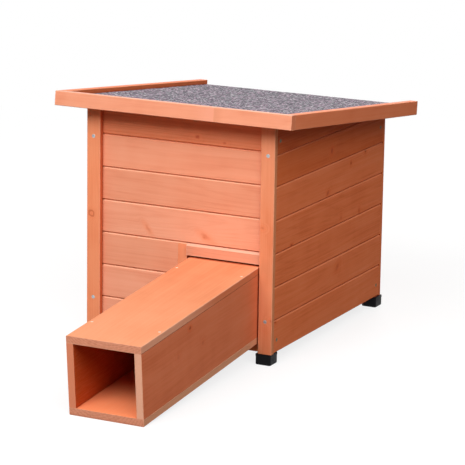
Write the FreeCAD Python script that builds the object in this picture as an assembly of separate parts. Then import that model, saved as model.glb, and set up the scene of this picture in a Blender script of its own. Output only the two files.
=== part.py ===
import FreeCAD, Part
import math
import os

os.makedirs("parts", exist_ok=True)

# All sizes are in millimetres. House axes while modelling: X across from the middle of the front,
# Y back from the face of the front posts, Z up from the bottom edge of the walls.

# House box, outer faces of the walls
house_width = 348.0
house_depth = 453.0
roof_slope = 6.4
foot_drop = 19.0

# Matchboards: the same tongue and groove board on every wall
board_thickness = 9.0
board_pitch = 56.0
top_board_height = 48.0
course_count = 7
door_courses = 3
wedge_end = 2.0
shortest_course = 12.0
tongue_thickness = 3.0
tongue_length = 4.0
tongue_clearance = 0.15
joint_gap = 0.2
joint_chamfer = 2.0

# Corner posts
post_side = 25.0
post_lip = 9.0
front_recess = 9.5
rear_recess = 3.0
groove_depth = 6.0
groove_clearance = 0.2
edge_ease = 0.8

# Feet: a stub under each post in a moulded cap
foot_side = 28.0
foot_wall = 3.5
foot_clearance = 0.1
foot_head_gap = 0.4
foot_ease = 1.5
front_foot_inset = 0.5
rear_foot_inset = -3.0
foot_proud = 1.5

# Floor
floor_thickness = 9.0
floor_top = 27.0
floor_gap = 0.3

# Tunnel: four boards, the lids over the sides, resting on the sill and on the ground
tunnel_width = 130.0
tunnel_height = 129.0
tunnel_board = 12.0
tunnel_out = 398.0
tunnel_in = 24.0
tunnel_post_gap = 1.5
tunnel_head_gap = 1.9
tunnel_seat_gap = 0.3
sill_height = 15.6
jamb_width = 17.0
jamb_gap = 6.0
jamb_return = 12.0
jamb_depth = 24.0
lintel_height = 19.9
lintel_proud = 3.0
lintel_chamfer = 4.0

# Roof
front_overhang = 33.0
rear_overhang = 40.0
side_overhang = 43.0
fascia_height = 24.4
fascia_thickness = 15.0
fascia_drop = 4.5
panel_thickness = 10.0
felt_thickness = 2.2
roof_seat_gap = 0.3
batten_width = 20.0
batten_height = 15.0
batten_inset = 62.0
batten_end_gap = 8.0

# Butt hinges of the roof, behind the top of the rear wall
hinge_length = 50.0
hinge_inset = 60.0
hinge_leaf = 25.0
hinge_plate = 1.5
hinge_knuckle = 3.2
hinge_pin = 1.5
hinge_running = 0.05
hinge_gap = 0.4
hinge_middle_length = 18.0
hinge_screw_length = 8.0
hinge_screw_inset = 8.0
hinge_screw_reach = 15.0

# Screws and nails
screw_head = 3.1
screw_shank = 1.8
screw_sink = 0.15
screw_clearance = 0.05
post_screw_length = 40.0
post_screw_low = 55.0
post_screw_from_top = 53.0
side_screw_length = 18.0
side_screw_low = 21.5
side_screw_from_top = 28.0
side_screw_inset = 20.5
nail_head = 2.4
nail_head_thickness = 0.8
nail_shank = 1.2
nail_length = 34.0
nail_from_mouth = 70.0
nail_from_wall = 71.0

# Worked out from the sizes above
half_width = house_width / 2
stem_inner = half_width - post_side
stem_outer = half_width - board_thickness - joint_gap
slope = math.radians(roof_slope)
roof_half = half_width + side_overhang
panel_half = roof_half - fascia_thickness
roof_run = (front_overhang + house_depth + rear_overhang) / math.cos(slope)
panel_top = fascia_drop + panel_thickness
felt_top = panel_top + felt_thickness
board_back = front_recess + board_thickness
rear_face = house_depth - rear_recess
board_end = stem_inner + groove_depth - groove_clearance

# The tunnel's rise comes from the sill at one end and the ground at the other
tunnel_seat = sill_height + tunnel_seat_gap
tunnel_rise = math.asin((tunnel_seat + foot_drop) / tunnel_out)
tunnel_right = stem_inner - tunnel_post_gap
tunnel_left = tunnel_right - tunnel_width
mouth_y = front_recess - tunnel_out * math.cos(tunnel_rise) - tunnel_height * math.sin(tunnel_rise)
tunnel_tail = front_recess + tunnel_in * math.cos(tunnel_rise)

# Doorway round the tunnel
jamb_right = tunnel_left - jamb_gap
jamb_left = jamb_right - jamb_width
lintel_under = (tunnel_seat + tunnel_height / math.cos(tunnel_rise)
                + board_thickness * math.tan(tunnel_rise) + tunnel_head_gap)
door_head = lintel_under + lintel_height + joint_gap

# The courses are set out from the head of the doorway
bottom_board_height = door_head - (door_courses - 1) * board_pitch
top_joint = bottom_board_height + (course_count - 2) * board_pitch

# Lower front edge of the roof, from the front wall's top course
eaves_height = (top_joint + top_board_height + roof_seat_gap - fascia_drop / math.cos(slope)
                + math.tan(slope) * (front_overhang + front_recess))
beyond = 4 * (house_width + house_depth + eaves_height)

# The finished part stands on the ground, with its origin under the middle of its box
centre_y = (mouth_y + house_depth + rear_overhang) / 2
to_origin = FreeCAD.Vector(0, -centre_y, foot_drop)


def vec(x, y, z):
    return FreeCAD.Vector(x, y, z)


def prism(points, direction):
    """Solid of a closed outline of points, pushed along a direction."""
    return Part.Face(Part.makePolygon(points + points[:1])).extrude(direction)


def box(x, y, z):
    """Box between the low and high value of each axis."""
    return Part.makeBox(x[1] - x[0], y[1] - y[0], z[1] - z[0], vec(x[0], y[0], z[0]))


def eased_outline(a, b, ease):
    """Rectangle with its four corners cut, as pairs of numbers."""
    return [(a[0] + ease, b[0]), (a[1] - ease, b[0]), (a[1], b[0] + ease), (a[1], b[1] - ease),
            (a[1] - ease, b[1]), (a[0] + ease, b[1]), (a[0], b[1] - ease), (a[0], b[0] + ease)]


def bar(x, y, z, along):
    """Planed bar with its four long edges eased."""
    if along == "x":
        return prism([vec(x[0], p, q) for p, q in eased_outline(y, z, edge_ease)], vec(x[1] - x[0], 0, 0))
    if along == "y":
        return prism([vec(p, y[0], q) for p, q in eased_outline(x, z, edge_ease)], vec(0, y[1] - y[0], 0))
    return prism([vec(p, q, z[0]) for p, q in eased_outline(x, y, edge_ease)], vec(0, 0, z[1] - z[0]))


def mirrored(shape):
    return shape.mirror(vec(0, 0, 0), vec(1, 0, 0))


def on_roof(shape):
    """Carry a shape from the roof's own flat axes to its place on the house."""
    placed = shape.copy()
    placed.rotate(vec(0, 0, 0), vec(1, 0, 0), -roof_slope)
    placed.translate(vec(0, -front_overhang, eaves_height))
    return placed


def roof_underside(y):
    """Height of the roof panel's underside over a point of the house."""
    return eaves_height + fascia_drop / math.cos(slope) - math.tan(slope) * (y + front_overhang)


def wall_top(y):
    return roof_underside(y) - roof_seat_gap


above_walls = on_roof(box((-beyond, beyond), (-beyond, beyond), (fascia_drop - roof_seat_gap, beyond)))


def under_roof(shape):
    return shape.cut(above_walls)


# Screws, nails and the holes that take them

def cone_screw(length, spread):
    """Countersunk screw down the Z axis with its head on top; spread widens it into its hole."""
    head = screw_head + spread
    shank = screw_shank + spread
    seat = screw_head - screw_shank
    outline = [vec(0, 0, 0), vec(head, 0, 0), vec(shank, 0, -seat),
               vec(shank, 0, -length), vec(0, 0, -length)]
    return Part.Face(Part.makePolygon(outline + outline[:1])).revolve(vec(0, 0, 0), vec(0, 0, 1), 360)


def flat_nail(length, spread):
    """Round nail down the Z axis with a flat head sunk flush; spread widens it into its hole."""
    head = nail_head + spread
    shank = nail_shank + spread
    under = -nail_head_thickness - spread
    outline = [vec(0, 0, 0), vec(head, 0, 0), vec(head, 0, under), vec(shank, 0, under),
               vec(shank, 0, -length), vec(0, 0, -length)]
    return Part.Face(Part.makePolygon(outline + outline[:1])).revolve(vec(0, 0, 0), vec(0, 0, 1), 360)


def driven(fastener, point, inward):
    """Turn a fastener from pointing down to pointing inward, with its head at a point."""
    placed = fastener.copy()
    placed.Placement = FreeCAD.Placement(point, FreeCAD.Rotation(vec(0, 0, -1), inward))
    return placed


def post_screw_places():
    """Two screws up each front post, with the way each one is driven."""
    x = half_width - post_side / 2
    heights = (post_screw_low, wall_top(0) - post_screw_from_top)
    return [(vec(side * x, 0, z), vec(0, 1, 0)) for side in (-1, 1) for z in heights]


def side_screw_places():
    """Top and bottom screws near both ends of each side wall."""
    places = []
    for side in (-1, 1):
        for y in (side_screw_inset, house_depth - side_screw_inset):
            for z in (side_screw_low, wall_top(y) - side_screw_from_top):
                places.append((vec(side * half_width, y, z), vec(-side, 0, 0)))
    return places


def fasteners(make, length, places, sink):
    return [driven(make(length, 0), point + inward * sink, inward) for point, inward in places]


def holes(make, length, places, mouth):
    """Tools that cut a hole for each fastener, with an open mouth as deep as its sunk head."""
    tools = []
    for point, inward in places:
        tool = driven(make(length + screw_clearance, screw_clearance), point + inward * screw_sink, inward)
        start = point - inward * screw_sink
        tools.append(tool.fuse(Part.makeCylinder(mouth + screw_clearance, 2 * screw_sink, start, inward)))
    return tools


wall_holes = (holes(cone_screw, post_screw_length, post_screw_places(), screw_head)
              + holes(cone_screw, side_screw_length, side_screw_places(), screw_head))


def drilled(shape, tools):
    """Cut only the holes that reach a shape."""
    reach = [tool for tool in tools if tool.BoundBox.intersect(shape.BoundBox)]
    return shape.cut(reach) if reach else shape


# Matchboards

def joints_below(limit):
    """Heights of the board joints from the bottom edge up, as far as a whole board fits under a limit."""
    edges = [0.0, bottom_board_height]
    while edges[-1] + board_pitch < limit:
        edges.append(edges[-1] + board_pitch)
    return edges


def tongue_outline(high):
    """Section of a tongue on a board's upper edge, from the back to the front."""
    middle = board_thickness / 2
    tongue = tongue_thickness / 2
    tip = high + tongue_length
    return [(middle + tongue, high), (middle + tongue, tip), (middle - tongue, tip), (middle - tongue, high)]


def board_outline(low, high, grooved, tongued):
    """Section of a matchboard as depth from its face and height."""
    middle = board_thickness / 2
    groove = tongue_thickness / 2 + tongue_clearance
    deep = low + tongue_length + tongue_clearance
    points = [(0, low + joint_chamfer), (joint_chamfer, low)]
    if grooved:
        points += [(middle - groove, low), (middle - groove, deep)]
        points += [(middle + groove, deep), (middle + groove, low)]
    points += [(board_thickness, low), (board_thickness, high)]
    if tongued:
        points += tongue_outline(high)
    return points + [(joint_chamfer, high), (0, high - joint_chamfer)]


def front_board(outline, left, right):
    points = [vec(left, front_recess + depth, z) for depth, z in outline]
    return prism(points, vec(right - left, 0, 0))


def rear_board(outline):
    points = [vec(-board_end, rear_face - depth, z) for depth, z in outline]
    return prism(points, vec(2 * board_end, 0, 0))


def side_board(outline):
    """Board of the right wall, between the lips of the two posts."""
    start = post_lip + joint_gap
    points = [vec(half_width - depth, start, z) for depth, z in outline]
    return prism(points, vec(0, house_depth - 2 * start, 0))


# Front and rear boards run into the posts' grooves; those beside the doorway stop at the jamb
front_edges = joints_below(top_joint + shortest_course) + [top_joint + top_board_height + board_pitch]


def make_front_wall(nodes):
    last = len(front_edges) - 2
    for course in range(last + 1):
        low = front_edges[course]
        high = front_edges[course + 1] - joint_gap
        outline = board_outline(low, high, course > 0, course < last)
        right = jamb_left - joint_gap if course < door_courses else board_end
        board = under_roof(front_board(outline, -board_end, right))
        nodes["front_board_" + str(course + 1)] = drilled(board, wall_holes)


def make_doorway(nodes):
    high = door_head - joint_gap
    # The lintel stands proud of the boards with a broad bevel on top, and its end enters the post's groove
    proud = -lintel_proud
    outline = [(proud, lintel_under), (board_thickness, lintel_under), (board_thickness, high)]
    outline += tongue_outline(high) + [(proud + lintel_chamfer, high), (proud, high - lintel_chamfer)]
    lintel = front_board(outline, jamb_right + joint_gap, board_end)
    by_post = box((stem_inner - joint_gap, board_end), (front_recess - lintel_proud, front_recess),
                  (lintel_under, high))
    nodes["door_lintel"] = lintel.cut(by_post)
    sill = [(0, 0), (board_thickness, 0), (board_thickness, sill_height), (0, sill_height)]
    nodes["door_sill"] = front_board(sill, jamb_left, board_end)
    # Rebated upright: a face strip between the boards, bevelled like them, and a wider return behind them
    strip = [(0, sill_height), (board_thickness, sill_height), (board_thickness, high),
             (joint_chamfer, high), (0, high - joint_chamfer)]
    wide = (jamb_left - jamb_return, jamb_right)
    back = box(wide, (board_back, front_recess + jamb_depth), (floor_top, high))
    nodes["door_jamb"] = front_board(strip, jamb_left, jamb_right).fuse(back).removeSplitter()


def make_side_walls(nodes):
    # The top course is a wedge that thins out at the rear, so the joint under it is plain and set by the roof
    wedge_joint = wall_top(house_depth) - wedge_end
    edges = joints_below(wedge_joint - shortest_course) + [wedge_joint, wall_top(0) + board_pitch]
    last = len(edges) - 2
    for course in range(last + 1):
        grooved = 0 < course < last
        tongued = course < last - 1
        outline = board_outline(edges[course], edges[course + 1] - joint_gap, grooved, tongued)
        board = under_roof(side_board(outline))
        for side, shape in (("right", board), ("left", mirrored(board))):
            nodes["side_board_" + side + "_" + str(course + 1)] = drilled(shape, wall_holes)


def make_rear_wall(nodes):
    rear_top = wall_top(house_depth)
    edges = joints_below(rear_top - shortest_course) + [rear_top + board_pitch]
    last = len(edges) - 2
    for course in range(last + 1):
        outline = board_outline(edges[course], edges[course + 1] - joint_gap, course > 0, course < last)
        nodes["rear_board_" + str(course + 1)] = drilled(under_roof(rear_board(outline)), wall_leaf_holes)


# Posts, feet and floor

def foot_square(rear):
    """Low and high X and Y of the right foot cap, front or rear."""
    inset = rear_foot_inset if rear else front_foot_inset
    x = (half_width - inset - foot_side, half_width - inset)
    back = house_depth + foot_proud if rear else foot_side - foot_proud
    return x, (back - foot_side, back)


def shrunk(span, by):
    return (span[0] + by, span[1] - by)


def leg_stub(rear):
    x, y = foot_square(rear)
    by = foot_wall + foot_clearance
    return box(shrunk(x, by), shrunk(y, by), (foot_wall - foot_drop, -joint_gap))


def foot_cap(rear):
    x, y = foot_square(rear)
    outer = box(x, y, (-foot_drop, -foot_head_gap))
    under = [edge for edge in outer.Edges if edge.BoundBox.ZMax < foot_ease - foot_drop]
    socket = box(shrunk(x, foot_wall), shrunk(y, foot_wall), (foot_wall - foot_drop, 0))
    return outer.makeChamfer(foot_ease, under).cut(socket)


def post_bar(recess):
    """Right front post: a lip over the side boards' ends, a rebate for them and a groove for the front boards."""
    outer = half_width
    inner = stem_inner
    groove_end = inner + groove_depth
    groove = (recess - groove_clearance, recess + board_thickness + groove_clearance)
    outline = [(inner + edge_ease, 0), (outer - edge_ease, 0), (outer, edge_ease), (outer, post_lip),
               (stem_outer, post_lip), (stem_outer, post_side), (inner, post_side), (inner, groove[1]),
               (groove_end, groove[1]), (groove_end, groove[0]), (inner, groove[0]), (inner, edge_ease)]
    return prism([vec(x, y, -joint_gap) for x, y in outline], vec(0, 0, wall_top(0) + board_pitch))


def make_posts(nodes):
    front = post_bar(front_recess)
    rear = post_bar(rear_recess).mirror(vec(0, house_depth / 2, 0), vec(0, 1, 0))
    for place, post in (("front", front), ("rear", rear)):
        post = under_roof(post.fuse(leg_stub(place == "rear")).removeSplitter())
        for side, shape in (("right", post), ("left", mirrored(post))):
            nodes["corner_post_" + place + "_" + side] = drilled(shape, wall_holes)
    caps = [foot_cap(False), foot_cap(True)]
    nodes["foot_caps"] = Part.makeCompound(caps + [mirrored(cap) for cap in caps])


def make_floor(nodes):
    inner = half_width - board_thickness - floor_gap
    front = tunnel_tail + floor_gap
    panel = box((-inner, inner), (front, rear_face - board_thickness - floor_gap),
                (floor_top - floor_thickness, floor_top))
    rear_clear = house_depth - post_side - floor_gap
    notch = box((stem_inner - floor_gap, half_width), (rear_clear, house_depth), (0, 2 * floor_top))
    nodes["floor_panel"] = panel.cut([notch, mirrored(notch)])
    stem = (stem_inner, stem_outer)
    bearer = box(stem, (post_side + floor_gap, rear_clear), (0, floor_top - floor_thickness))
    nodes["floor_bearer_right"] = drilled(bearer, wall_holes)
    nodes["floor_bearer_left"] = drilled(mirrored(bearer), wall_holes)
    cleat_depth = (board_back + joint_gap, tunnel_tail)
    nodes["front_cleat"] = box((floor_gap - stem_inner, jamb_right), cleat_depth, (0, floor_top - joint_gap))
    batten_depth = (post_side + joint_gap, post_side + batten_width)
    batten = box(stem, batten_depth, (floor_top + joint_gap, wall_top(0)))
    for side, shape in (("right", batten), ("left", mirrored(batten))):
        nodes["corner_batten_" + side] = drilled(under_roof(shape), wall_holes)


# Tunnel, modelled level with its seat at the origin and then tipped down to the ground

def in_doorway(shape):
    placed = shape.copy()
    placed.rotate(vec(0, 0, 0), vec(1, 0, 0), math.degrees(tunnel_rise))
    placed.translate(vec(0, front_recess, tunnel_seat))
    return placed


def tunnel_nail_places():
    """Nails through the top and bottom boards into the middle of the side boards."""
    places = []
    for x in (tunnel_left + tunnel_board / 2, tunnel_right - tunnel_board / 2):
        for y in (nail_from_mouth - tunnel_out, tunnel_in - nail_from_wall):
            places.append((vec(x, y, tunnel_height), vec(0, 0, -1)))
            places.append((vec(x, y, 0), vec(0, 0, 1)))
    return places


def make_tunnel(nodes):
    length = (-tunnel_out, tunnel_in)
    across = (tunnel_left, tunnel_right)
    between = (tunnel_board, tunnel_height - tunnel_board)
    boards = {
        "tunnel_bottom": bar(across, length, (0, tunnel_board), "y"),
        "tunnel_top": bar(across, length, (tunnel_height - tunnel_board, tunnel_height), "y"),
        "tunnel_side_left": box((tunnel_left, tunnel_left + tunnel_board), length, between),
        "tunnel_side_right": box((tunnel_right - tunnel_board, tunnel_right), length, between),
    }
    places = tunnel_nail_places()
    tools = holes(flat_nail, nail_length, places, nail_head)
    for name, board in boards.items():
        nodes[name] = in_doorway(drilled(board, tools))
    nails = fasteners(flat_nail, nail_length, places, screw_sink)
    nodes["tunnel_nails"] = Part.makeCompound([in_doorway(nail) for nail in nails])


# Roof, modelled flat with the front fascia's lower front edge at the origin

def roof_distance(y):
    """Distance down the roof's slope to a point of the underside over the house."""
    return (y + front_overhang) / math.cos(slope) - fascia_drop * math.tan(slope)


def make_roof(nodes):
    sides = (-panel_half, panel_half)
    height = (0, fascia_height)
    nodes["roof_fascia_front"] = on_roof(bar((-roof_half, roof_half), (0, fascia_thickness), height, "x"))
    side = bar((panel_half, roof_half), (fascia_thickness, roof_run), height, "y")
    nodes["roof_fascia_right"] = on_roof(side)
    nodes["roof_fascia_left"] = on_roof(mirrored(side))
    panel = box(sides, (fascia_thickness, roof_run - felt_thickness), (fascia_drop, panel_top))
    nodes["roof_panel"] = drilled(on_roof(panel), roof_leaf_holes)
    felt = box(sides, (fascia_thickness, roof_run), (panel_top, felt_top))
    flap = box(sides, (roof_run - felt_thickness, roof_run), (fascia_drop, felt_top))
    nodes["roof_felt"] = on_roof(felt.fuse(flap).removeSplitter())
    reach = stem_inner - batten_end_gap
    hung = (fascia_drop - batten_height, fascia_drop)
    for place, y in (("front", batten_inset), ("rear", house_depth - batten_inset - batten_width)):
        start = roof_distance(y)
        batten = bar((-reach, reach), (start, start + batten_width), hung, "x")
        nodes["roof_batten_" + place] = on_roof(batten)


# Butt hinges: leaf on the rear wall, leaf under the roof's rear overhang, pin in the corner

hinge_y = rear_face + hinge_knuckle + hinge_gap
hinge_z = roof_underside(hinge_y) - (hinge_knuckle + hinge_gap) / math.cos(slope)
hinge_centres = [half_width - hinge_inset, hinge_inset - half_width]


def knuckle(x, radius):
    return Part.makeCylinder(radius, x[1] - x[0], vec(x[0], hinge_y, hinge_z), vec(1, 0, 0))


def hinge_screw_columns():
    """Places along the house of the two screws in each leaf."""
    reach = hinge_length / 2 - hinge_screw_inset
    return [centre + step for centre in hinge_centres for step in (-reach, reach)]


def wall_leaf_screw_places():
    y = rear_face + hinge_plate
    return [(vec(x, y, hinge_z - hinge_screw_reach), vec(0, -1, 0)) for x in hinge_screw_columns()]


def roof_leaf_screw_places():
    """Places in the roof's own flat axes."""
    y = roof_distance(hinge_y) + hinge_screw_reach
    return [(vec(x, y, fascia_drop - hinge_plate), vec(0, 0, 1)) for x in hinge_screw_columns()]


wall_leaf_holes = holes(cone_screw, hinge_screw_length, wall_leaf_screw_places(), screw_head)
roof_leaf_holes = [on_roof(tool) for tool in
                   holes(cone_screw, hinge_screw_length, roof_leaf_screw_places(), screw_head)]


def make_hinges(nodes):
    wall_leaves = []
    roof_leaves = []
    pins = []
    for centre in hinge_centres:
        left = centre - hinge_length / 2
        right = centre + hinge_length / 2
        middle = (centre - hinge_middle_length / 2, centre + hinge_middle_length / 2)
        outer = [(left, middle[0] - hinge_gap), (middle[1] + hinge_gap, right)]
        bore = knuckle((left, right), hinge_pin + hinge_running)
        behind = (rear_face, rear_face + hinge_plate)
        wall_plate = box((left, right), behind, (hinge_z - hinge_leaf, hinge_z))
        clear = [knuckle(shrunk(x, -hinge_gap), hinge_knuckle + hinge_gap) for x in outer]
        wall_leaf = wall_plate.cut(clear).fuse(knuckle(middle, hinge_knuckle))
        wall_leaves.append(drilled(wall_leaf.cut(bore), wall_leaf_holes))
        start = roof_distance(hinge_y)
        under = (fascia_drop - hinge_plate, fascia_drop)
        roof_plate = on_roof(box((left, right), (start, start + hinge_leaf), under))
        roof_leaf = roof_plate.cut(knuckle(shrunk(middle, -hinge_gap), hinge_knuckle + hinge_gap))
        roof_leaf = roof_leaf.fuse([knuckle(x, hinge_knuckle) for x in outer])
        roof_leaves.append(drilled(roof_leaf.cut(bore), roof_leaf_holes))
        pins.append(knuckle((left, right), hinge_pin))
    nodes["roof_hinge_wall_leaves"] = Part.makeCompound(wall_leaves)
    nodes["roof_hinge_roof_leaves"] = Part.makeCompound(roof_leaves)
    nodes["roof_hinge_pins"] = Part.makeCompound(pins)


def make_screws(nodes):
    posts = fasteners(cone_screw, post_screw_length, post_screw_places(), screw_sink)
    sides = fasteners(cone_screw, side_screw_length, side_screw_places(), screw_sink)
    nodes["post_screws"] = Part.makeCompound(posts)
    nodes["side_wall_screws"] = Part.makeCompound(sides)
    wall_leaf = fasteners(cone_screw, hinge_screw_length, wall_leaf_screw_places(), screw_sink)
    roof_leaf = fasteners(cone_screw, hinge_screw_length, roof_leaf_screw_places(), screw_sink)
    nodes["roof_hinge_wall_screws"] = Part.makeCompound(wall_leaf)
    nodes["roof_hinge_roof_screws"] = Part.makeCompound([on_roof(screw) for screw in roof_leaf])


parts = {}
make_front_wall(parts)
make_doorway(parts)
make_side_walls(parts)
make_rear_wall(parts)
make_posts(parts)
make_floor(parts)
make_tunnel(parts)
make_roof(parts)
make_hinges(parts)
make_screws(parts)

for node, shape in parts.items():
    placed = shape.copy()
    placed.translate(to_origin)
    placed.exportStep("parts/" + node + ".step")
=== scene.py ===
import bmesh
import bpy
import math
import random
import zlib
from mathutils import Matrix, Quaternion, Vector, noise


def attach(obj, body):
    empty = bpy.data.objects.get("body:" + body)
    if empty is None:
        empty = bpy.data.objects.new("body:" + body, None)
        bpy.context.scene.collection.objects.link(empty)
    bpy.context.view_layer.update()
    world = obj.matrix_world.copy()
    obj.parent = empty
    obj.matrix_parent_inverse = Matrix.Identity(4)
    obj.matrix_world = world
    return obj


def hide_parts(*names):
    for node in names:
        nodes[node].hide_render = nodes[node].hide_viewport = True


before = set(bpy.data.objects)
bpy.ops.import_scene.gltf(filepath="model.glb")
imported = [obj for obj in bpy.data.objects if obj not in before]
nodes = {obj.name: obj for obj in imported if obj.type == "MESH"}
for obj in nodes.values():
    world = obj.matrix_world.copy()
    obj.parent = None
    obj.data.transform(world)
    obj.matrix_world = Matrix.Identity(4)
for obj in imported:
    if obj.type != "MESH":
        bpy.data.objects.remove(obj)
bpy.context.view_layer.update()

# All lengths are in metres. X runs across the front, Y to the back and Z up, as in the CAD.

# Camera at the photograph's viewing angle
camera_lens = 192.3
camera_place = Vector((1.8527, -3.5878, 1.1555))
camera_target = Vector((0.0999, -0.0474, 0.2173))
camera_roll = math.radians(0.908)
camera_reach = 200.0

# Light: soft round lamps at one distance, each with its azimuth from the front, elevation, power and size
lamp_distance = 3.8
lamp_target = Vector((0.0, 0.0, 0.2))
lamps = {
    "left": (-60, 50, 20.0, 1.5),
    "front": (-8, 42, 85.0, 2.0),
    "right": (46, 43, 89.0, 3.2),
    "rear": (-165, 25, 55.0, 1.5),
}
fill_level = 0.1
fill_tint = (1.0, 0.88, 0.8, 1.0)

# Floor: how much of it shows as plain white, and how much as lit floor that keeps the shadow near the object
floor_size = 80.0
floor_white = 0.8
floor_lit = 0.24
floor_drop = 0.0003
shadow_reach = (0.7, 2.2)

# Tilts of the roof and of the tunnel, which climbs to the sill along its length outside the wall
roof_slope = math.radians(6.4)
tunnel_climb = 0.0349
tunnel_length = 0.398
tunnel_rise = math.asin(tunnel_climb / tunnel_length)

# Fasteners: countersunk screws with a cross recess, and flat nails
screw_head = 0.0031
screw_shank = 0.0018
post_screw_length = 0.040
side_screw_length = 0.018
hinge_screw_length = 0.008
head_crown = 0.00009
head_level = 0.00005
recess_arm = 0.0019
recess_half_width = 0.00045
recess_depth = 0.0011
nail_head = 0.0024
nail_head_thickness = 0.0008
nail_shank = 0.0012
nail_length = 0.034
nail_sides = 20

# Foot caps
foot_wall = 0.0035
foot_radius = 0.0022
foot_socket_radius = 0.0006
foot_corner_steps = 5
foot_top_ease = 0.0004
foot_ease = 0.0018
parting_drop = 0.004
parting_step = 0.0003

# Felt sheet
felt_thickness = 0.0022
felt_bend = 0.0036
felt_bend_steps = 6
felt_step = 0.004
felt_wave = 0.0005
felt_wave_count = 14
felt_grit = 0.0003
felt_grit_count = 150
granule_count = 430.0
fleck_count = 250.0
clump_count = 210.0

# Growth rings: where the pith may lie beside and below the middle of a board, how far it leans in degrees,
# how ring widths vary, how far slow wobbles bend the rings, and how many rings a knot pushes aside
pith_aside = 0.03
pith_depth = (0.03, 0.08)
pith_lean = (2.2, 1.2)
ring_spread = (0.8, 1.25)
wobble_reach = 0.016
knot_push = 2.2

# Features of the grain to the metre along a board, across its face and through it
wobble_grain = (3.0, 16.0, 16.0)
knot_grain = (130.0, 130.0, 130.0)
fibre_grain = (5.0, 420.0, 420.0)
fine_grain = (45.0, 1900.0, 1900.0)
patch_grain = (9.0, 30.0, 30.0)
planer_grain = (34.0, 5.0, 5.0)
pore_grain = (1.0, 260.0, 420.0)
wear_grain = (60.0, 160.0, 160.0)

# How strongly each mark shows on timber, and its relief, gloss and roughness
patch_depth = 0.4
planer_depth = 0.1
board_spread = 0.1
end_cover = 0.92
tint_cover = (0.7, 0.95)
# Upper bevels: partly thin stain, partly painted highlight
bevel_wear_and_highlight = 0.65
edge_wear = 0.4
worn_width = (0.0002, 0.0022)
# Bevels that face down: partly stain in the groove, partly painted shade
joint_cover = 0.35
grain_relief = 0.0005
timber_gloss = 0.1
timber_roughness = (0.58, 0.74)


def srgb(red, green, blue):
    """Shader colour from 0 to 255 screen values."""
    def linear(value):
        value /= 255
        return value / 12.92 if value <= 0.04045 else ((value + 0.055) / 1.055) ** 2.4
    return (linear(red), linear(green), linear(blue), 1.0)


def grey(value):
    return (value, value, value, 1.0)


white = grey(1.0)
floor_bounce = srgb(100, 96, 93)

# Steels: dull and bright grey, and how metallic they look
zinc_looks = (srgb(168, 178, 186), srgb(214, 220, 222), 0.6)
bright_looks = (srgb(250, 226, 196), srgb(255, 242, 222), 0.2)
dulled_looks = (srgb(72, 84, 40), srgb(104, 108, 62), 0.15)

# Finishes of timber: earlywood, middle and latewood tones, knot heart and rim, and the rest by name
stain = {
    "knot": (srgb(214, 112, 74), srgb(196, 96, 62)),
    "halo": srgb(246, 142, 96),
    # Colour of wear on edges and of the painted highlight on upper bevels
    "wear_and_highlight": srgb(252, 190, 156),
    "end": (srgb(244, 168, 136), srgb(226, 144, 110)),
    # Colour of bevels that face down: partly stain in the groove, partly painted shade
    "joint": srgb(212, 104, 62),
    "ring": 0.0042,
    "contrast": 0.2,
    "fibre": 0.24,
    "drift": 0.0,
}
board_stain = dict(stain, tones=(srgb(248, 168, 134), srgb(244, 160, 125), srgb(234, 143, 107)))
pale_board_stain = dict(stain, tones=(srgb(254, 176, 143), srgb(250, 168, 134), srgb(240, 151, 116)))
# Lintel: a brighter painted highlight on its wide upper bevel
lintel_stain = dict(stain, tones=(srgb(236, 164, 133), srgb(232, 156, 124), srgb(222, 139, 106)),
                    wear_and_highlight=srgb(252, 190, 164))
# Sixth front board: a dimmer painted highlight on its upper bevel, which lies in the eaves' shadow
shade_stain = dict(stain, tones=(srgb(255, 173, 138), srgb(252, 165, 129), srgb(242, 148, 112)),
                   wear_and_highlight=srgb(238, 154, 118))
# Top front board: a darker, redder stain that is painted shade under the eaves
top_board_painted_eaves_shade = dict(stain, tones=(srgb(246, 149, 108), srgb(241, 141, 99), srgb(224, 121, 81)),
                   joint=srgb(246, 142, 100), knot=(srgb(206, 84, 58), srgb(176, 72, 48)),
                   contrast=0.12, fibre=0.42)
trim_stain = dict(stain, tones=(srgb(255, 162, 118), srgb(252, 154, 109), srgb(244, 138, 93)))
right_trim_stain = dict(stain, tones=(srgb(247, 157, 116), srgb(242, 149, 106), srgb(228, 122, 78)),
                        drift=-0.35)
jamb_stain = dict(stain, tones=(srgb(250, 159, 117), srgb(247, 151, 108), srgb(237, 135, 91)))
lid_stain = dict(stain, tones=(srgb(242, 162, 121), srgb(239, 154, 112), srgb(229, 138, 95)),
                 end=(srgb(240, 163, 132), srgb(220, 138, 105)), contrast=0.12, fibre=0.14, drift=0.3)
# Side and rear walls, sill and rear posts: a deeper, redder copy of the front's stain, painted shade of faces
# turned from the main lamps
painted_shade_wall_stain = dict(stain, tones=(srgb(250, 139, 88), srgb(245, 130, 78), srgb(228, 112, 62)),
                  wear_and_highlight=srgb(240, 150, 106), joint=srgb(214, 98, 54), halo=srgb(236, 104, 52),
                  knot=(srgb(190, 76, 38), srgb(168, 66, 34)))
# Top two boards of the side walls: darker stains that are painted shade under the eaves
top_wall_painted_eaves_shade = dict(painted_shade_wall_stain, tones=(srgb(226, 112, 56), srgb(221, 104, 50), srgb(204, 89, 40)))
second_wall_painted_eaves_shade = dict(painted_shade_wall_stain, tones=(srgb(234, 120, 65), srgb(229, 112, 58), srgb(212, 96, 46)))
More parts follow.
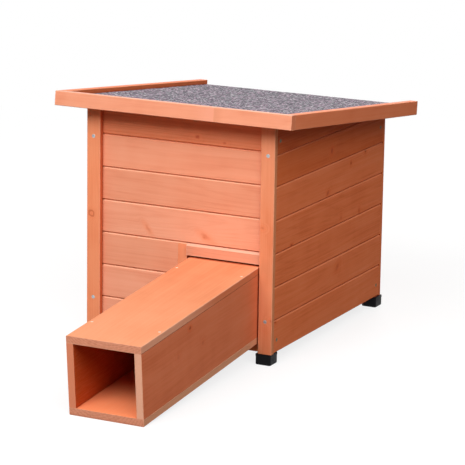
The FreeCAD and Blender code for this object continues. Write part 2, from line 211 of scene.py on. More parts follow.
# Tunnel sides and side fascias: further copies of that painted shade
painted_shade_flank_stain = dict(painted_shade_wall_stain, tones=(srgb(242, 141, 99), srgb(237, 132, 89), srgb(220, 113, 71)),
                   knot=(srgb(150, 66, 44), srgb(140, 60, 40)), contrast=0.1, fibre=0.12, drift=-0.12)
painted_shade_fascia_stain = dict(painted_shade_wall_stain, tones=(srgb(250, 146, 101), srgb(246, 137, 91), srgb(232, 120, 74)),
                    contrast=0.1, fibre=0.12)
plain_pine = {
    "tones": (srgb(236, 205, 160), srgb(226, 190, 142), srgb(204, 158, 106)),
    "knot": (srgb(160, 100, 60), srgb(110, 62, 36)),
    "halo": srgb(206, 152, 98),
    "wear_and_highlight": srgb(240, 214, 174),
    "end": (srgb(214, 176, 130), srgb(180, 136, 92)),
    "joint": srgb(170, 128, 84),
    "ring": 0.0052,
    "contrast": 0.32,
    "fibre": 0.24,
    "drift": 0.0,
}

# Painted shade: what the stain is multiplied by in gaps and crevices, by how much of the sky they see within
# a short reach
crevice_reach = 0.006
crevice_painted_shade = ((0.14, (0.3, 0.07, 0.04, 1.0)), (0.32, (0.62, 0.38, 0.27, 1.0)), (0.8, white))

# Knots that show in the photograph and a few more: a point on the face, the reach along and across the grain,
# the tilt in degrees, and how strongly the heart and the rim show
knots = {
    "front_board_4": [((-0.062, -0.036, 0.2025), 0.0032, 0.0095, 38, 0.4, 0.0),
                      ((0.044, -0.036, 0.2007), 0.0042, 0.0036, 0, 0.6, 0.1),
                      ((0.046, -0.036, 0.2015), 0.0125, 0.0042, -28, 0.4, 0.0)],
    "front_board_3": [((-0.0847, -0.036, 0.1858), 0.0018, 0.0018, 0, 0.8, 0.0)],
    "front_board_7": [((0.0285, -0.036, 0.3671), 0.0052, 0.0048, 20, 0.7, 0.0),
                      ((0.0781, -0.036, 0.3622), 0.0048, 0.0034, 0, 0.5, 0.0)],
    "corner_post_front_left": [((-0.1651, -0.047, 0.2192), 0.0062, 0.0056, 0, 0.12, 0.6)],
    "corner_post_front_right": [((0.1541, -0.047, 0.2313), 0.0032, 0.0046, 0, 0.5, 0.0),
                                ((0.173, -0.047, 0.0768), 0.0032, 0.0042, 0, 0.8, 0.0)],
    "side_board_right_6": [((0.174, 0.1772, 0.3216), 0.0052, 0.0068, 0, 0.65, 0.0)],
    "side_board_right_5": [((0.174, 0.3203, 0.2975), 0.005, 0.0055, 0, 0.9, 0.0),
                           ((0.174, 0.2587, 0.2863), 0.0032, 0.0042, 0, 0.85, 0.0),
                           ((0.174, 0.1649, 0.2512), 0.0065, 0.0045, 20, 0.5, 0.0)],
    "side_board_right_4": [((0.174, 0.0229, 0.1905), 0.005, 0.0026, 0, 0.75, 0.0),
                           ((0.174, 0.2993, 0.1945), 0.0045, 0.006, 0, 0.4, 0.0),
                           ((0.174, 0.2222, 0.1972), 0.0045, 0.007, 0, 0.25, 0.0)],
    "side_board_right_2": [((0.174, 0.2106, 0.112), 0.011, 0.0065, 30, 0.35, 0.0)],
    "side_board_right_1": [((0.174, -0.034, 0.0735), 0.005, 0.004, 0, 0.9, 0.0)],
    "side_board_left_2": [((-0.174, 0.21, 0.1), 0.0055, 0.006, 0, 0.5, 0.4)],
    "side_board_left_5": [((-0.174, 0.07, 0.27), 0.006, 0.007, 0, 0.5, 0.5),
                          ((-0.174, 0.33, 0.29), 0.0035, 0.007, 0, 0.6, 0.0)],
    "rear_board_2": [((0.06, 0.402, 0.11), 0.006, 0.0065, 0, 0.5, 0.5)],
    "rear_board_4": [((-0.09, 0.402, 0.21), 0.004, 0.009, 0, 0.6, 0.0)],
    "tunnel_side_right": [((0.1475, -0.2868, 0.1193), 0.0044, 0.0032, 0, 0.65, 0.0),
                          ((0.1475, -0.2418, 0.0846), 0.006, 0.005, 0, 0.16, 0.0),
                          ((0.1475, -0.3243, 0.081), 0.006, 0.006, 0, 0.12, 0.0)],
    "tunnel_side_left": [((0.0175, -0.2, 0.09), 0.005, 0.006, 0, 0.4, 0.4)],
    "floor_panel": [((-0.05, 0.2, 0.046), 0.009, 0.008, 0, 0.6, 0.6)],
    "roof_panel": [((0.09, 0.2, 0.39), 0.008, 0.007, 0, 0.6, 0.6)],
}


# Shader nodes

class Nodes:
    """Builds the nodes of a material or world; each call gives the new node's output socket."""

    def __init__(self, owner):
        self.owner = owner
        owner.use_nodes = True
        self.tree = owner.node_tree

    def plug(self, socket, value):
        if isinstance(value, bpy.types.NodeSocket):
            self.tree.links.new(value, socket)
        else:
            socket.default_value = value

    def add(self, kind, inputs=None, output=0, **settings):
        node = self.tree.nodes.new("ShaderNode" + kind)
        for setting, value in settings.items():
            setattr(node, setting, value)
        for socket, value in (inputs or {}).items():
            self.plug(node.inputs[socket], value)
        return node.outputs[output]

    def place(self):
        return self.add("TexCoord", output="Object")

    def facing(self):
        return self.add("TexCoord", output="Normal")

    def math(self, operation, *values):
        return self.add("Math", dict(enumerate(values)), operation=operation)

    def vector(self, operation, *values):
        return self.add("VectorMath", dict(enumerate(values)), operation=operation)

    def length(self, vector):
        return self.add("VectorMath", {0: vector}, output="Value", operation="LENGTH")

    def dot(self, vector, other):
        return self.add("VectorMath", {0: vector, 1: other}, output="Value", operation="DOT_PRODUCT")

    def mapping(self, vector, location, rotation):
        return self.add("Mapping", {"Vector": vector, "Location": location, "Rotation": rotation})

    def noise(self, vector, stretch, detail=2.0, output="Fac"):
        """Cloudy noise with so many features to the metre along each axis."""
        scaled = self.vector("MULTIPLY", vector, stretch)
        return self.add("TexNoise", {"Vector": scaled, "Scale": 1.0, "Detail": detail}, output=output)

    def cells(self, vector, scale, output):
        return self.add("TexVoronoi", {"Vector": vector, "Scale": scale}, output=output)

    def span(self, value, low, high, to_low=0.0, to_high=1.0):
        """Smooth step of a value from one span to another."""
        limits = {"Value": value, 1: low, 2: high, 3: to_low, 4: to_high}
        return self.add("MapRange", limits, interpolation_type="SMOOTHSTEP")

    def mix(self, factor, first, second, blend="MIX"):
        colours = {0: factor, 6: first, 7: second}
        return self.add("Mix", colours, output=2, data_type="RGBA", blend_type=blend)

    def ramp(self, value, stops):
        node = self.tree.nodes.new("ShaderNodeValToRGB")
        self.plug(node.inputs[0], value)
        elements = node.color_ramp.elements
        while len(elements) < len(stops):
            elements.new(0.5)
        for element, (position, colour) in zip(elements, stops):
            element.position = position
            element.color = colour
        return node.outputs[0]

    def bump(self, height, strength, distance):
        return self.add("Bump", {"Height": height, "Strength": strength, "Distance": distance})

    def finish(self, **sockets):
        """Plug the material's own shader; names use _ for a space."""
        shader = self.tree.nodes["Principled BSDF"]
        for name, value in sockets.items():
            self.plug(shader.inputs[name.replace("_", " ")], value)
        return self.owner

    def show(self, kind, shader):
        """Plug another shader into an output of its own."""
        output = self.tree.nodes.new("ShaderNodeOutput" + kind)
        self.plug(output.inputs["Surface"], shader)

    def seen_by_eye(self):
        """1 for what the camera sees, straight or in gloss and glass."""
        path = self.add("LightPath").node.outputs
        first = self.math("MAXIMUM", path["Is Camera Ray"], path["Is Glossy Ray"])
        return self.math("MAXIMUM", first, path["Is Transmission Ray"])


def new_material(name):
    return Nodes(bpy.data.materials.new(name))


# Timber

def grain_axes(along, across):
    """Rows are the way of the grain, the way across the face, and the way through the board."""
    along = Vector(along)
    across = Vector(across)
    return Matrix((along, across, along.cross(across)))


def box_along(node, axes):
    """Lowest and highest corner of a CAD node in its own grain axes."""
    points = [axes @ vertex.co for vertex in nodes[node].data.vertices]
    low = Vector(map(min, *points))
    high = Vector(map(max, *points))
    return low, high


def edge_distance(n, board, half):
    """Distance to a board's nearest edge: the middle one of the distances to its three pairs of faces."""
    inside = n.vector("SUBTRACT", half, n.vector("ABSOLUTE", board))
    split = n.add("SeparateXYZ", {0: inside}).node.outputs
    lower = n.math("MINIMUM", split[0], split[1])
    upper = n.math("MAXIMUM", split[0], split[1])
    return n.math("MAXIMUM", lower, n.math("MINIMUM", upper, split[2]))


def knot_marks(n, board, own, places, ring, radius):
    """Push the rings round each knot; gives the radius and how far a point is in halos, hearts and rims."""
    halo = 0.0
    heart = 0.0
    rim = 0.0
    ragged = n.vector("SUBTRACT", n.noise(own, knot_grain, 3.0, "Color"), (0.5, 0.5, 0.5))
    for x, y, along, across, tilt, heart_depth, rim_depth in places:
        offset = n.vector("SUBTRACT", board, (x, y, 0.0))
        turned = n.mapping(offset, (0.0, 0.0, 0.0), (0.0, 0.0, -math.radians(tilt)))
        away = n.vector("MULTIPLY", turned, (1 / along, 1 / across, 0.0))
        away = n.length(n.vector("MULTIPLY", n.vector("ADD", away, ragged), (1.0, 1.0, 0.0)))
        radius = n.math("ADD", radius, n.span(away, 0.4, 3.5, knot_push * ring, 0.0))
        halo_depth = min(0.5, 0.9 * max(heart_depth, rim_depth))
        halo = n.math("MAXIMUM", halo, n.span(away, 0.6, 2.6, halo_depth, 0.0))
        heart = n.math("MAXIMUM", heart, n.span(away, 0.15, 1.1, heart_depth, 0.0))
        off_rim = n.math("ABSOLUTE", n.math("SUBTRACT", away, 0.8))
        rim = n.math("MAXIMUM", rim, n.span(off_rim, 0.05, 0.4, rim_depth, 0.0))
    return radius, halo, heart, rim


ring_profile = ((0.0, grey(0.25)), (0.12, grey(0.0)), (0.55, grey(0.2)), (0.9, grey(1.0)), (1.0, grey(0.3)))


def board_knots(node, axes, centre):
    """Knots of a board with their points in its own grain axes, from its middle."""
    places = []
    for point, *knot in knots.get(node, []):
        spot = axes @ Vector(point) - centre
        places.append((spot.x, spot.y, *knot))
    return places


def ring_radius(n, board, own, rng):
    """Distance from a pith beside the board, bent by slow wobbles."""
    aside = rng.uniform(-pith_aside, pith_aside)
    pith = Vector((0, -aside, -rng.choice((-1, 1)) * rng.uniform(*pith_depth)))
    lean = (0, *[math.radians(rng.uniform(-most, most)) for most in pith_lean])
    wobble = n.vector("SUBTRACT", n.noise(own, wobble_grain, 2.0, "Color"), (0.5, 0.5, 0.5))
    wobble = n.vector("MULTIPLY", wobble, (0.0, wobble_reach, wobble_reach))
    ringed = n.vector("ADD", n.mapping(board, pith, lean), wobble)
    return n.length(n.vector("MULTIPLY", ringed, (0.0, 1.0, 1.0)))


def stain_colour(n, board, own, half, late, fibre, finish, rng):
    """Stain over rings and fibres, with slow patches and faint bands left across the grain by the planer."""
    patch = n.noise(own, patch_grain, 4.0)
    band = n.noise(own, planer_grain, 1.0)
    tone = n.math("MULTIPLY", late, finish["contrast"])
    tone = n.math("MULTIPLY_ADD", n.span(fibre, 0.3, 0.7), finish["fibre"], tone)
    tone = n.math("MULTIPLY_ADD", n.span(patch, 0.25, 0.75), patch_depth, tone)
    tone = n.math("MULTIPLY_ADD", n.span(band, 0.3, 0.7), planer_depth, tone)
    tone = n.math("ADD", tone, rng.uniform(-board_spread, board_spread))
    if finish["drift"]:
        tone = n.math("MULTIPLY_ADD", n.dot(board, (1.0, 0.0, 0.0)), finish["drift"] / half.x, tone)
    pale, middle, deep = finish["tones"]
    return n.ramp(tone, ((0.0, pale), (0.45, middle), (1.0, deep)))


def face_colour(n, node, axes, board, own, late, fine, finish, colour):
    """End grain, and faces of another colour, among them painted shade, a painted highlight and painted
    light.
    """
    facing = n.facing()
    end = n.span(n.math("ABSOLUTE", n.dot(facing, axes[0])), 0.6, 0.9)
    pores = n.math("MULTIPLY_ADD", n.noise(own, pore_grain, 3.0), 1.0, n.math("MULTIPLY", late, 0.3))
    end_grain = n.mix(n.span(pores, 0.3, 1.0), *finish["end"])
    colour = n.mix(n.math("MULTIPLY", end, end_cover), colour, end_grain)
    cover = n.span(fine, 0.3, 0.7, *tint_cover)
    for way, tint, *fades in face_tints.get(node, []):
        turned = n.span(n.dot(facing, way), 0.6, 0.9)
        for start, stop in fades:
            left = n.span(n.dot(board, (1.0, 0.0, 0.0)), start, stop, 1.0, 0.0)
            turned = n.math("MULTIPLY", turned, left)
        colour = n.mix(n.math("MULTIPLY", turned, cover), colour, tint)
    return colour


def edge_colour(n, axes, board, own, half, finish, colour):
    """Wear on edges; a lighter colour on upper bevels, partly thin stain and partly painted highlight; and a
    darker colour on the bevels that face down, partly stain in the groove and partly painted shade.
    """
    facing = n.facing()
    turns = [n.math("ABSOLUTE", n.dot(facing, axis)) for axis in axes]
    square = n.math("MAXIMUM", turns[0], n.math("MAXIMUM", turns[1], turns[2]))
    bevel = n.span(square, 0.75, 0.9, 1.0, 0.0)
    skyward = n.dot(facing, (0.0, 0.0, 1.0))
    # Bevels that face down: darker, partly stain in the groove and partly painted shade
    under = n.math("MULTIPLY", bevel, n.span(skyward, -0.6, -0.3, 1.0, 0.0))
    edge = n.span(edge_distance(n, board, half), *worn_width, 1.0, 0.0)
    edge = n.math("MULTIPLY", edge, n.span(n.noise(own, wear_grain), 0.35, 0.65))
    # Bevels that face up: lighter, partly thin stain and partly painted highlight
    thin = n.math("MULTIPLY", bevel, n.span(skyward, -0.3, 0.3, 0.0, bevel_wear_and_highlight))
    colour = n.mix(n.math("MAXIMUM", thin, n.math("MULTIPLY", edge, edge_wear)), colour, finish["wear_and_highlight"])
    return n.mix(n.math("MULTIPLY", under, joint_cover), colour, finish["joint"])


def timber(node, axes, finish):
    """Softwood with growth rings, knots, fibres, end grain and wear on edges, with painted highlight and
    shade on bevels and painted shade in gaps and crevices.
    """
    rng = random.Random(zlib.crc32(node.encode()))
    low, high = box_along(node, axes)
    centre = (low + high) / 2
    half = (high - low) / 2
    n = new_material("wood_" + node)
    board = n.mapping(n.place(), -centre, axes.to_euler())
    shift = Vector((rng.uniform(-5, 5), rng.uniform(-5, 5), rng.uniform(-5, 5)))
    own = n.vector("ADD", board, shift)

    radius = ring_radius(n, board, own, rng)
    ring = finish["ring"] * rng.uniform(*ring_spread)
    places = board_knots(node, axes, centre)
    if places:
        radius, halo, heart, rim = knot_marks(n, board, own, places, ring, radius)
    late = n.ramp(n.math("FRACT", n.math("DIVIDE", radius, ring)), ring_profile)
    fibre = n.noise(own, fibre_grain, 3.0)
    fine = n.noise(own, fine_grain, 2.0)

    colour = stain_colour(n, board, own, half, late, fibre, finish, rng)
    if places:
        colour = n.mix(halo, colour, finish["halo"])
        colour = n.mix(heart, colour, finish["knot"][0])
        colour = n.mix(rim, colour, finish["knot"][1])
    colour = face_colour(n, node, axes, board, own, late, fine, finish, colour)
    colour = edge_colour(n, axes, board, own, half, finish, colour)
    # Painted shade: the stain darkens in gaps and crevices that see little of the sky
    open_sky = n.add("AmbientOcclusion", {"Distance": crevice_reach}, output="AO", samples=4)
    colour = n.mix(1.0, colour, n.ramp(open_sky, crevice_painted_shade), "MULTIPLY")

    height = n.math("MULTIPLY_ADD", late, 0.35, n.math("MULTIPLY", fibre, 0.8))
    height = n.math("MULTIPLY_ADD", fine, 0.45, height)
    normal = n.bump(height, 0.35, grain_relief)
    roughness = n.span(fibre, 0.3, 0.7, *timber_roughness)
    paint(node, n.finish(Base_Color=colour, Roughness=roughness, Normal=normal,
                         Specular_IOR_Level=timber_gloss))


def paint(node, material):
    nodes[node].data.materials.clear()
    nodes[node].data.materials.append(material)


house_across = grain_axes((1, 0, 0), (0, 0, 1))
house_deep = grain_axes((0, 1, 0), (0, 0, 1))
house_up = grain_axes((0, 0, 1), (1, 0, 0))
floor_across = grain_axes((1, 0, 0), (0, 1, 0))
tunnel_way = (0, math.cos(tunnel_rise), math.sin(tunnel_rise))
tunnel_up = (0, -math.sin(tunnel_rise), math.cos(tunnel_rise))
tunnel_flat = grain_axes(tunnel_way, (1, 0, 0))
tunnel_upright = grain_axes(tunnel_way, tunnel_up)
roof_way = (0, math.cos(roof_slope), -math.sin(roof_slope))
roof_up = (0, math.sin(roof_slope), math.cos(roof_slope))
roof_across = grain_axes((1, 0, 0), roof_up)
roof_deep = grain_axes(roof_way, roof_up)
roof_flat = grain_axes((1, 0, 0), roof_way)

# Grain and finish by the start of a node's name; the longest start that fits holds
timber_kinds = {
    "front_board": (house_across, board_stain),
    "front_board_1": (house_across, pale_board_stain),
    "front_board_2": (house_across, pale_board_stain),
    "front_board_4": (house_across, pale_board_stain),
    "front_board_6": (house_across, shade_stain),
    "front_board_7": (house_across, top_board_painted_eaves_shade),
    "door_lintel": (house_across, lintel_stain),
    "door_sill": (house_across, painted_shade_wall_stain),
    "door_jamb": (house_up, jamb_stain),
    "rear_board": (house_across, painted_shade_wall_stain),
    "side_board": (house_deep, painted_shade_wall_stain),
    "side_board_left_6": (house_deep, second_wall_painted_eaves_shade),
    "side_board_left_7": (house_deep, top_wall_painted_eaves_shade),
    "side_board_right_6": (house_deep, second_wall_painted_eaves_shade),
    "side_board_right_7": (house_deep, top_wall_painted_eaves_shade),
    "corner_post_front_left": (house_up, trim_stain),
    "corner_post_front_right": (house_up, right_trim_stain),
    "corner_post_rear": (house_up, painted_shade_wall_stain),
    "tunnel_top": (tunnel_flat, lid_stain),
    "tunnel_bottom": (tunnel_flat, lid_stain),
    "tunnel_side": (tunnel_upright, painted_shade_flank_stain),
    "roof_fascia_front": (roof_across, board_stain),
    "roof_fascia_left": (roof_deep, painted_shade_fascia_stain),
    "roof_fascia_right": (roof_deep, painted_shade_fascia_stain),
    "roof_panel": (roof_flat, plain_pine),
    "roof_batten": (roof_across, plain_pine),
    "floor_panel": (floor_across, plain_pine),
    "floor_bearer": (house_deep, plain_pine),
    "front_cleat": (house_across, plain_pine),
    "corner_batten": (house_up, plain_pine),
}

# Faces of another colour: left as the saw made them, a splice in the fascia, painted shade on faces in
# corners, under the lintel and inside the tunnel, a painted highlight on the fascia's top and painted light
# on the tunnel's floor.
# Further values fade the colour out from one place along the grain to another, from the middle of the board
sawn = srgb(230, 147, 100)
sawn_edge = srgb(240, 171, 132)
bare_edge = srgb(252, 184, 150)
stained_edge = srgb(236, 130, 86)
# Painted shade on the tunnel top where it runs in under the lintel
painted_gap_shade = srgb(208, 92, 54)
# Painted shade on the inner faces of the posts, the left fascia and the tunnel
painted_shade = srgb(206, 104, 60)
fascia_end = srgb(246, 140, 96)
# Painted highlight on the front fascia's top face
fascia_top_painted_highlight = srgb(240, 172, 152)
spliced = srgb(247, 167, 137)
spliced_dark = srgb(237, 156, 120)
bare_part = (-0.12, 0.08)
covered_part = (0.1938, 0.1915)
splice = 0.0775
splice_end = 0.0795
before_splice = [(splice, splice_end), (splice, 0.0325)]
after_splice = [(splice_end, splice), (splice_end, 0.0975)]
face_tints = {
    # Painted shade on the lintel's underside, seen in the gap above the tunnel
    "door_lintel": [((0, 0, -1), srgb(150, 40, 20))],
    "tunnel_top": [((1, 0, 0), stained_edge), ((1, 0, 0), bare_edge, bare_part), ((-1, 0, 0), sawn_edge),
                   ((0, 0, -1), painted_shade), ((0, 0, 1), painted_gap_shade, covered_part)],
    # The tunnel floor's upper face is brighter and redder: painted light reaching in through the mouth
    "tunnel_bottom": [((1, 0, 0), sawn_edge), ((-1, 0, 0), sawn_edge), ((0, 0, 1), srgb(255, 144, 94))],
    # The left side's inner face carries painted shade
    "tunnel_side_left": [((1, 0, 0), srgb(188, 71, 12)), ((0, -1, 0), srgb(241, 145, 108))],
    "tunnel_side_right": [((-1, 0, 0), painted_shade), ((0, -1, 0), srgb(255, 192, 160))],
    "corner_post_front_right": [((1, 0, 0), sawn), ((-1, 0, 0), painted_shade)],
    "corner_post_front_left": [((-1, 0, 0), sawn), ((1, 0, 0), painted_shade)],
    "roof_fascia_front": [((1, 0, 0), fascia_end), ((-1, 0, 0), fascia_end), ((0, 0, 1), fascia_top_painted_highlight),
                          ((0, -1, 0), spliced, *before_splice),
                          ((0, -1, 0), spliced_dark, *after_splice)],
    "roof_fascia_left": [((1, 0, 0), painted_shade)],
}


def dress_timber():
    for node in sorted(nodes):
        starts = [start for start in timber_kinds if node.startswith(start)]
        if starts:
            timber(node, *timber_kinds[max(starts, key=len)])


# Other finishes

def felt_finish():
    """Mineral felt: crushed slate granules of several greys and purples pressed into bitumen."""
    n = new_material("mineral_felt")
    place = n.place()
    beside = n.vector("ADD", place, (3.1, 1.7, 0.9))
    grain = n.add("SeparateColor", {0: n.cells(place, granule_count, "Color")})
    fleck = n.add("SeparateColor", {0: n.cells(beside, fleck_count, "Color")})
    clump = n.noise(place, (clump_count, clump_count, clump_count), 2.0)
    hue = n.add("SeparateColor", {0: n.cells(place, fleck_count, "Color")}, output=1)
    shade = n.math("MULTIPLY_ADD", grain, 0.5, n.span(clump, 0.35, 0.65, -0.09, 0.23))
    shade = n.math("MULTIPLY_ADD", fleck, 0.34, shade)
    cool = n.ramp(shade, ((0.15, srgb(24, 28, 36)), (0.38, srgb(68, 72, 80)), (0.6, srgb(124, 126, 132)),
                          (0.8, srgb(206, 206, 208)), (1.0, srgb(240, 238, 238))))
    warm = n.ramp(shade, ((0.15, srgb(36, 26, 40)), (0.38, srgb(87, 69, 87)), (0.6, srgb(145, 119, 139)),
                          (0.8, srgb(216, 190, 204)), (1.0, srgb(242, 224, 230))))
    colour = n.mix(n.span(hue, 0.3, 0.7), cool, warm)
    height = n.math("SUBTRACT", 1.0, n.cells(place, granule_count, "Distance"))
    normal = n.bump(height, 0.6, 0.0012)
    roughness = n.span(grain, 0.0, 1.0, 0.75, 0.95)
    return n.finish(Base_Color=colour, Roughness=roughness, Normal=normal, Specular_IOR_Level=0.2)


def steel_finish(name, dull, bright, metallic):
    """Zinc plated steel between two greys, with faint scratches and a cloudy surface."""
    n = new_material(name)
    place = n.place()
    cloud = n.noise(place, (300.0, 300.0, 300.0), 3.0)
    scratch = n.noise(place, (250.0, 3000.0, 3000.0), 2.0)
    colour = n.ramp(cloud, ((0.3, dull), (0.7, bright)))
    roughness = n.span(n.math("ADD", cloud, scratch), 0.6, 1.4, 0.36, 0.55)
    normal = n.bump(scratch, 0.2, 0.0001)
    return n.finish(Base_Color=colour, Roughness=roughness, Normal=normal, Metallic=metallic)


def plastic_finish():
    """Black moulded plastic, finely textured and a little dusty."""
    n = new_material("foot_plastic")
    place = n.place()
    dust = n.noise(place, (90.0, 90.0, 90.0), 4.0)
    texture = n.noise(place, (1500.0, 1500.0, 1500.0), 1.0)
    colour = n.ramp(dust, ((0.35, srgb(5, 5, 8)), (0.75, srgb(14, 14, 18))))
    roughness = n.span(dust, 0.3, 0.7, 0.42, 0.6)
    normal = n.bump(texture, 0.25, 0.0002)
    return n.finish(Base_Color=colour, Roughness=roughness, Normal=normal, Specular_IOR_Level=0.12)


# Stage

def light_world():
    """White surroundings to the eye, and a faint warm fill from all sides to the object."""
    world = bpy.data.worlds.new("studio")
    bpy.context.scene.world = world
    n = Nodes(world)
    n.tree.nodes.clear()
    fill = n.add("Background", {"Color": fill_tint, "Strength": fill_level})
    plain = n.add("Background", {"Color": white})
    n.show("World", n.add("MixShader", {0: n.seen_by_eye(), 1: fill, 2: plain}))


def add_lamps():
    for name, (azimuth, elevation, power, size) in lamps.items():
        light = bpy.data.lights.new("lamp_" + name, "AREA")
        light.shape = "DISK"
        light.size = size
        light.energy = power
        lamp = bpy.data.objects.new("lamp_" + name, light)
        lift = Matrix.Rotation(-math.radians(elevation), 3, "X")
        away = Matrix.Rotation(math.radians(azimuth), 3, "Z") @ lift @ Vector((0, -1, 0))
        lamp.location = lamp_target + away * lamp_distance
        lamp.rotation_euler = (-away).to_track_quat("-Z", "Y").to_euler()
        lamp.visible_camera = False
        bpy.context.scene.collection.objects.link(lamp)


def add_camera():
    scene = bpy.context.scene
    scene.view_settings.view_transform = "Standard"
    camera = bpy.data.objects.new("camera", bpy.data.cameras.new("camera"))
    camera.data.lens = camera_lens
    camera.data.clip_end = camera_reach
    camera.rotation_mode = "QUATERNION"
    aim = (camera_target - camera_place).to_track_quat("-Z", "Y")
    camera.location = camera_place
    camera.rotation_quaternion = aim @ Quaternion((0, 0, 1), camera_roll)
    scene.collection.objects.link(camera)
    scene.camera = camera


def lay_floor():
    """White floor that keeps the object's shadow near it and throws a little light back on the object."""
    reach = floor_size / 2
    mesh = bpy.data.meshes.new("floor")
    corners = [(-reach, -reach), (reach, -reach), (reach, reach), (-reach, reach)]
    mesh.from_pydata([(x, y, -floor_drop) for x, y in corners], [], [(0, 1, 2, 3)])
    floor = bpy.data.objects.new("floor", mesh)
    bpy.context.scene.collection.objects.link(floor)
    n = new_material("floor")
    n.tree.nodes.clear()
    bounce = n.add("BsdfDiffuse", {"Color": floor_bounce})
    lit = n.add("BsdfDiffuse", {"Color": grey(floor_lit)})
    glow = n.add("Emission", {"Color": white, "Strength": floor_white})
    shadowed = n.add("AddShader", {0: lit, 1: glow})
    plain = n.add("Emission", {"Color": white})
    far = n.span(n.length(n.place()), *shadow_reach)
    shown = n.add("MixShader", {0: far, 1: shadowed, 2: plain})
    n.show("Material", n.add("MixShader", {0: n.seen_by_eye(), 1: bounce, 2: shown}))
    mesh.materials.append(n.owner)


# Pieces in place of CAD nodes

def lofted(rings):
    """Vertices and faces of a closed skin through rings of points, with flat ends."""
    count = len(rings[0])
    points = [point for ring in rings for point in ring]
    faces = [tuple(reversed(range(count))), tuple(range(len(points) - count, len(points)))]
    for start in range(0, len(points) - count, count):
        for i in range(count):
            j = (i + 1) % count
            faces.append((start + i, start + j, start + count + j, start + count + i))
    return points, faces


def add_piece(name, shapes, body, material, replaced, sharp=30.0):
    """One mesh piece from several closed skins, riding on a body in place of a CAD node."""
    points = []
    faces = []
    for skin_points, skin_faces in shapes:
        faces += [tuple(len(points) + i for i in face) for face in skin_faces]
        points += skin_points
    mesh = bpy.data.meshes.new(name)
    mesh.from_pydata(points, [], faces)
    work = bmesh.new()
    work.from_mesh(mesh)
    bmesh.ops.recalc_face_normals(work, faces=work.faces)
    work.to_mesh(mesh)
    work.free()
    mesh.shade_smooth()
    mesh.set_sharp_from_angle(angle=math.radians(sharp))
    mesh.materials.append(material)
    piece = bpy.data.objects.new(name, mesh)
    bpy.context.scene.collection.objects.link(piece)
    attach(piece, body)
    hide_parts(replaced)


def circle(angles, radius, height):
    return [Vector((radius * math.cos(a), radius * math.sin(a), height)) for a in angles]


def cross_recess(angles, scale, height):
    """Outline of a cross slot at a height."""
    ring = []
    for a in angles:
        turn = abs((math.degrees(a) + 45) % 90 - 45)
        reach = recess_arm / math.cos(math.radians(turn))
        if turn > 0:
            reach = min(reach, recess_half_width / math.sin(math.radians(turn)))
        ring.append(Vector((scale * reach * math.cos(a), scale * reach * math.sin(a), height)))
    return ring


def screw_skin(length):
    """Countersunk cross-head screw down the Z axis, its head's face at the origin."""
    corner = math.degrees(math.atan2(recess_half_width, recess_arm))
    steps = (-45, -30, -corner, -corner / 2, 0, corner / 2, corner, 30)
    angles = [math.radians(quarter + step) for quarter in (0, 90, 180, 270) for step in steps]
    neck = screw_head - screw_shank
    return lofted([
        cross_recess(angles, 0.3, -recess_depth),
        cross_recess(angles, 0.75, -0.8 * recess_depth),
        cross_recess(angles, 1.0, head_crown),
        circle(angles, 0.82 * screw_head, head_crown),
        circle(angles, 0.95 * screw_head, 0.3 * head_crown),
        circle(angles, screw_head, -head_crown),
        circle(angles, screw_shank, -neck),
        circle(angles, screw_shank, 2 * screw_shank - length),
        circle(angles, 0.15 * screw_shank, -length),
    ])


def nail_skin(length):
    """Round nail down the Z axis with a thin crowned head."""
    angles = [math.tau * i / nail_sides for i in range(nail_sides)]
    return lofted([
        circle(angles, 0.3 * nail_head, head_crown),
        circle(angles, 0.8 * nail_head, 0.8 * head_crown),
        circle(angles, nail_head, -head_crown),
        circle(angles, nail_head, -nail_head_thickness),
        circle(angles, nail_shank, -nail_head_thickness),
        circle(angles, nail_shank, 2 * nail_shank - length),
        circle(angles, 0.2 * nail_shank, -length),
    ])


def head_centres(node, outward, radius):
    """Middles of the flat heads that a node shows on one side."""
    points = [vertex.co for vertex in nodes[node].data.vertices]
    level = max(point.dot(outward) for point in points)
    heads = []
    for point in points:
        if point.dot(outward) > level - head_level:
            for head in heads:
                if (head[0] - point).length < 2.5 * radius:
                    head.append(point)
                    break
            else:
                heads.append([point])
    return [(Vector(map(min, *head)) + Vector(map(max, *head))) / 2 for head in heads]


def fastener_set(name, node, body, skin, radius, sides, material):
    """Detailed fasteners on every head of a node; sides are the ways that heads face."""
    rng = random.Random(zlib.crc32(name.encode()))
    points, faces = skin
    shapes = []
    for outward in map(Vector, sides):
        aim = outward.to_track_quat("Z", "Y").to_matrix()
        for centre in head_centres(node, outward, radius):
            turn = aim @ Matrix.Rotation(rng.uniform(0, math.pi / 2), 3, "Z")
            shapes.append(([centre + turn @ point for point in points], faces))
    add_piece(name, shapes, body, material, node)


def add_fasteners(steel, dark_steel, bright_steel):
    hinge_screw = screw_skin(hinge_screw_length)
    fastener_set("post_screw_set", "post_screws", "house", screw_skin(post_screw_length), screw_head,
                 [(0, -1, 0)], steel)
    fastener_set("side_screw_set", "side_wall_screws", "house", screw_skin(side_screw_length), screw_head,
                 [(1, 0, 0), (-1, 0, 0)], dark_steel)
    fastener_set("hinge_wall_screw_set", "roof_hinge_wall_screws", "house", hinge_screw, screw_head,
                 [(0, 1, 0)], steel)
    fastener_set("hinge_roof_screw_set", "roof_hinge_roof_screws", "roof", hinge_screw, screw_head,
                 [-Vector(roof_up)], steel)
    fastener_set("tunnel_nail_set", "tunnel_nails", "tunnel", nail_skin(nail_length), nail_head,
                 [Vector(tunnel_up), -Vector(tunnel_up)], bright_steel)


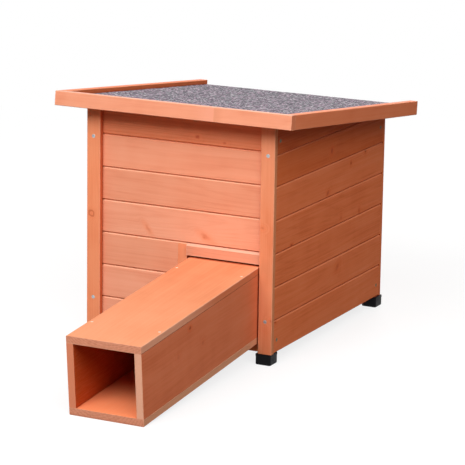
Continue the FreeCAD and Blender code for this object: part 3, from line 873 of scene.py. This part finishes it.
def rounded_square(low, high, inset, radius, height):
    """Ring of points round a square with rounded corners."""
    ring = []
    for side_x, side_y, start in ((1, 1, 0), (-1, 1, 90), (-1, -1, 180), (1, -1, 270)):
        x = (high.x - inset - radius) if side_x > 0 else (low.x + inset + radius)
        y = (high.y - inset - radius) if side_y > 0 else (low.y + inset + radius)
        for step in range(foot_corner_steps + 1):
            a = math.radians(start + 90 * step / foot_corner_steps)
            ring.append(Vector((x + radius * math.cos(a), y + radius * math.sin(a), height)))
    return ring


def add_feet(material):
    """Moulded caps with rounded corners, a parting line and a socket for the post's stub."""
    points = [vertex.co for vertex in nodes["foot_caps"].data.vertices]
    middle = sum((point.y for point in points)) / len(points)
    shapes = []
    for side in (-1, 1):
        for rear in (False, True):
            own = [point for point in points if point.x * side > 0 and (point.y > middle) == rear]
            low = Vector(map(min, *own))
            high = Vector(map(max, *own))
            top = high.z
            shapes.append(lofted([
                rounded_square(low, high, 2 * foot_wall, foot_socket_radius, foot_wall),
                rounded_square(low, high, foot_wall, foot_socket_radius, foot_wall),
                rounded_square(low, high, foot_wall, foot_socket_radius, top),
                rounded_square(low, high, foot_top_ease, foot_radius, top),
                rounded_square(low, high, 0.0, foot_radius, top - foot_top_ease),
                rounded_square(low, high, 0.0, foot_radius, top - parting_drop),
                rounded_square(low, high, parting_step, foot_radius, top - parting_drop - parting_step),
                rounded_square(low, high, parting_step, foot_radius, foot_ease),
                rounded_square(low, high, 0.4 * foot_ease, foot_radius, 0.3 * foot_ease),
                rounded_square(low, high, foot_ease, foot_radius, 0.0),
            ]))
    add_piece("foot_cap_set", shapes, "house", material, "foot_caps")


def add_felt(material):
    """Felt sheet lying on the panel, a little uneven, bent down over the rear edge."""
    low, high = box_along("roof_felt", roof_deep)
    to_frame = roof_deep.transposed()
    front, rear = low.x, high.x
    hem, top = low.y, high.y
    path = [(front, top - felt_thickness), (front, top)]
    steps = round((rear - felt_bend - front) / felt_step)
    path += [(front + (rear - felt_bend - front) * i / steps, top) for i in range(1, steps + 1)]
    for step in range(1, felt_bend_steps + 1):
        a = math.radians(90 - 90 * step / felt_bend_steps)
        path.append((rear - felt_bend + felt_bend * math.cos(a), top - felt_bend + felt_bend * math.sin(a)))
    inner = felt_bend - felt_thickness
    path += [(rear, hem), (rear - felt_thickness, hem), (rear - felt_thickness, top - felt_bend),
             (rear - felt_thickness - 0.3 * inner, top - felt_thickness - 0.3 * inner),
             (rear - felt_bend, top - felt_thickness)]
    columns = round((high.z - low.z) / felt_step)
    rings = []
    for column in range(columns + 1):
        x = low.z + (high.z - low.z) * column / columns
        ring = []
        for along, up in path:
            if up == top:
                spot = Vector((x, along, 0))
                up += felt_wave * noise.noise(spot * felt_wave_count)
                up += felt_grit * noise.noise(spot * felt_grit_count)
            ring.append(to_frame @ Vector((along, up, x)))
        rings.append(ring)
    add_piece("felt_sheet", [lofted(rings)], "roof", material, "roof_felt", sharp=45.0)


light_world()
add_lamps()
add_camera()
lay_floor()
dress_timber()
steel = steel_finish("zinc_steel", *zinc_looks)
bright_steel = steel_finish("bright_steel", *bright_looks)
dark_steel = steel_finish("dulled_steel", *dulled_looks)
for node in sorted(nodes):
    if "hinge" in node:
        paint(node, steel)
add_fasteners(steel, dark_steel, bright_steel)
add_feet(plastic_finish())
add_felt(felt_finish())
